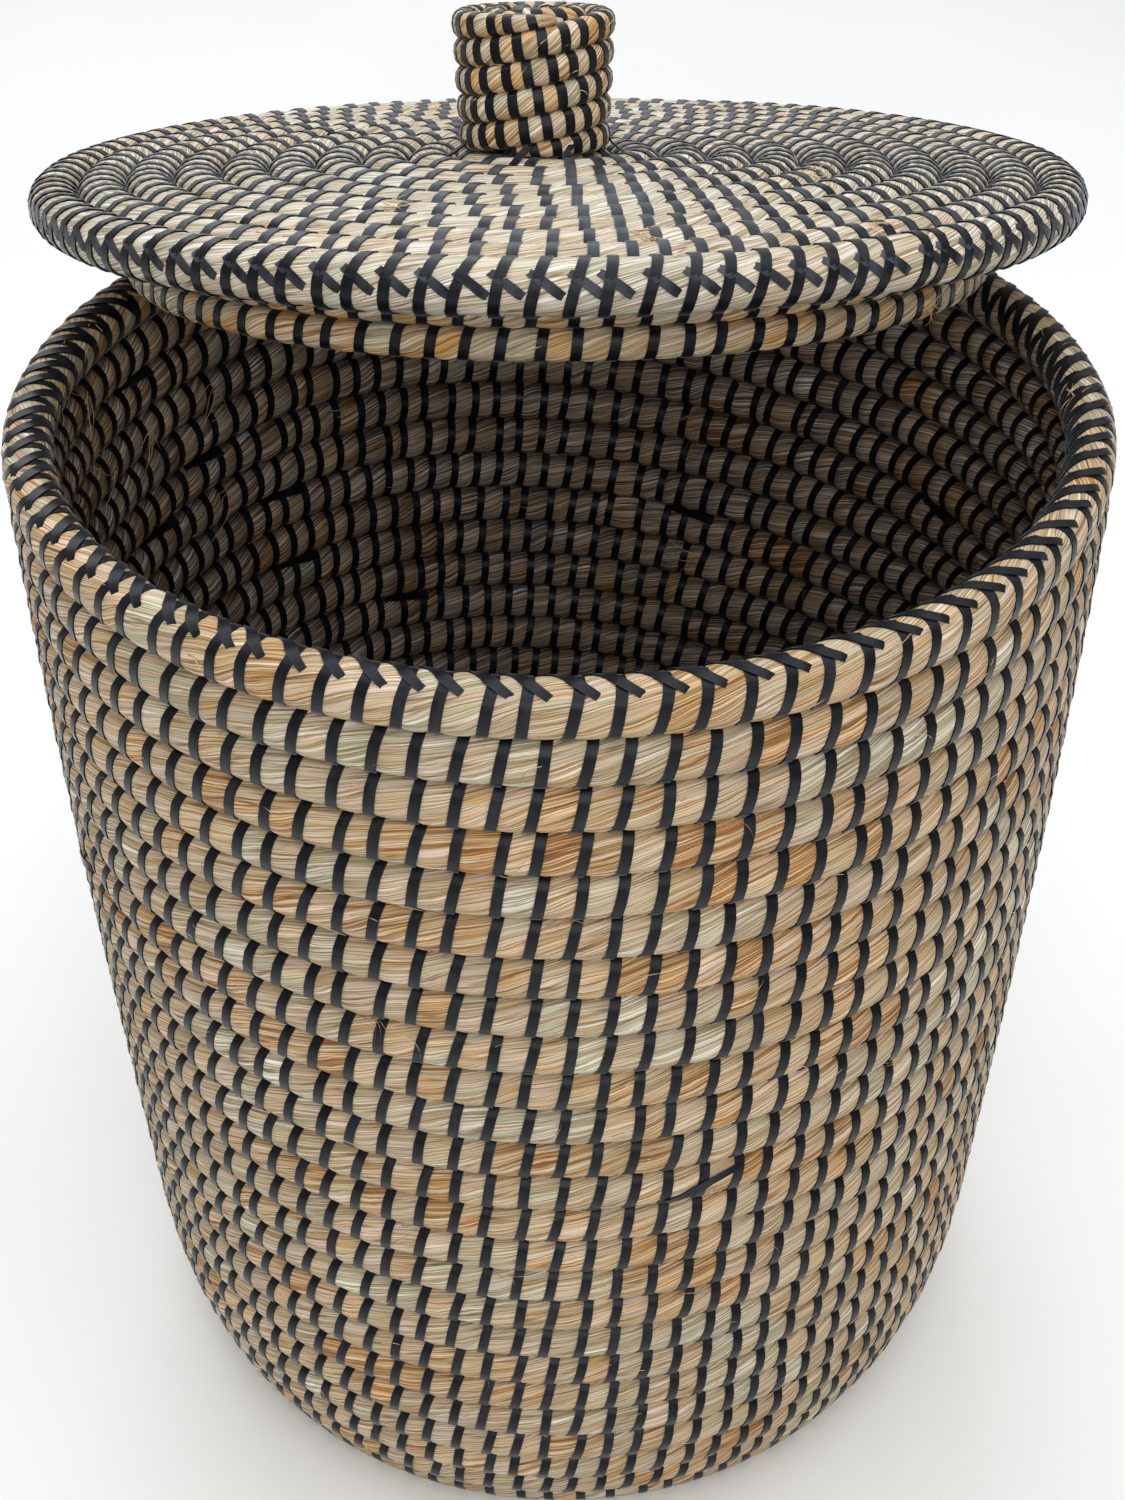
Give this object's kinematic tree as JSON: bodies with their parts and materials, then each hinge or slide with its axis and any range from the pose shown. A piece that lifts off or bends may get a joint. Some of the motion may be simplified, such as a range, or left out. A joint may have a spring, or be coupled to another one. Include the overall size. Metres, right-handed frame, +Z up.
{
  "type": "laundry basket",
  "caption": "Round laundry basket of coiled seagrass sewn with flat black strip, slightly tapered to its foot, with a loose coiled lid that has a locating ring and a knob.",
  "frame": {"origin": "centre of the flat underside of the base, on the floor", "axes": "+Z up along the basket's axis, front faces -Y, the lid is set back towards +Y"},
  "size_m": [0.4444, 0.5463, 0.6147],
  "materials": {
    "base_grass": "dry grass bundle, matt",
    "wall_grass": "dry grass bundle, matt",
    "lid_grass": "dry grass bundle, matt",
    "knob_grass": "dry grass bundle, matt",
    "binding_strip": "flat woven-look plastic strip, satin"
  },
  "bodies": {
    "basket": {"base_disc": "base_grass", "wall_coil": "wall_grass", "rim_coil": "wall_grass"},
    "lid": {"lid_coil": "lid_grass", "lid_rim_coil": "lid_grass", "lid_ring_coil": "lid_grass", "knob_coil": "knob_grass", "knob_cap": "knob_grass"}
  },
  "joints": [
    {"name": "lid_lift", "type": "slide", "parent": "basket", "child": "lid", "axis": [0, 0, 1], "range_m": [0, 0.25]}
  ]
}
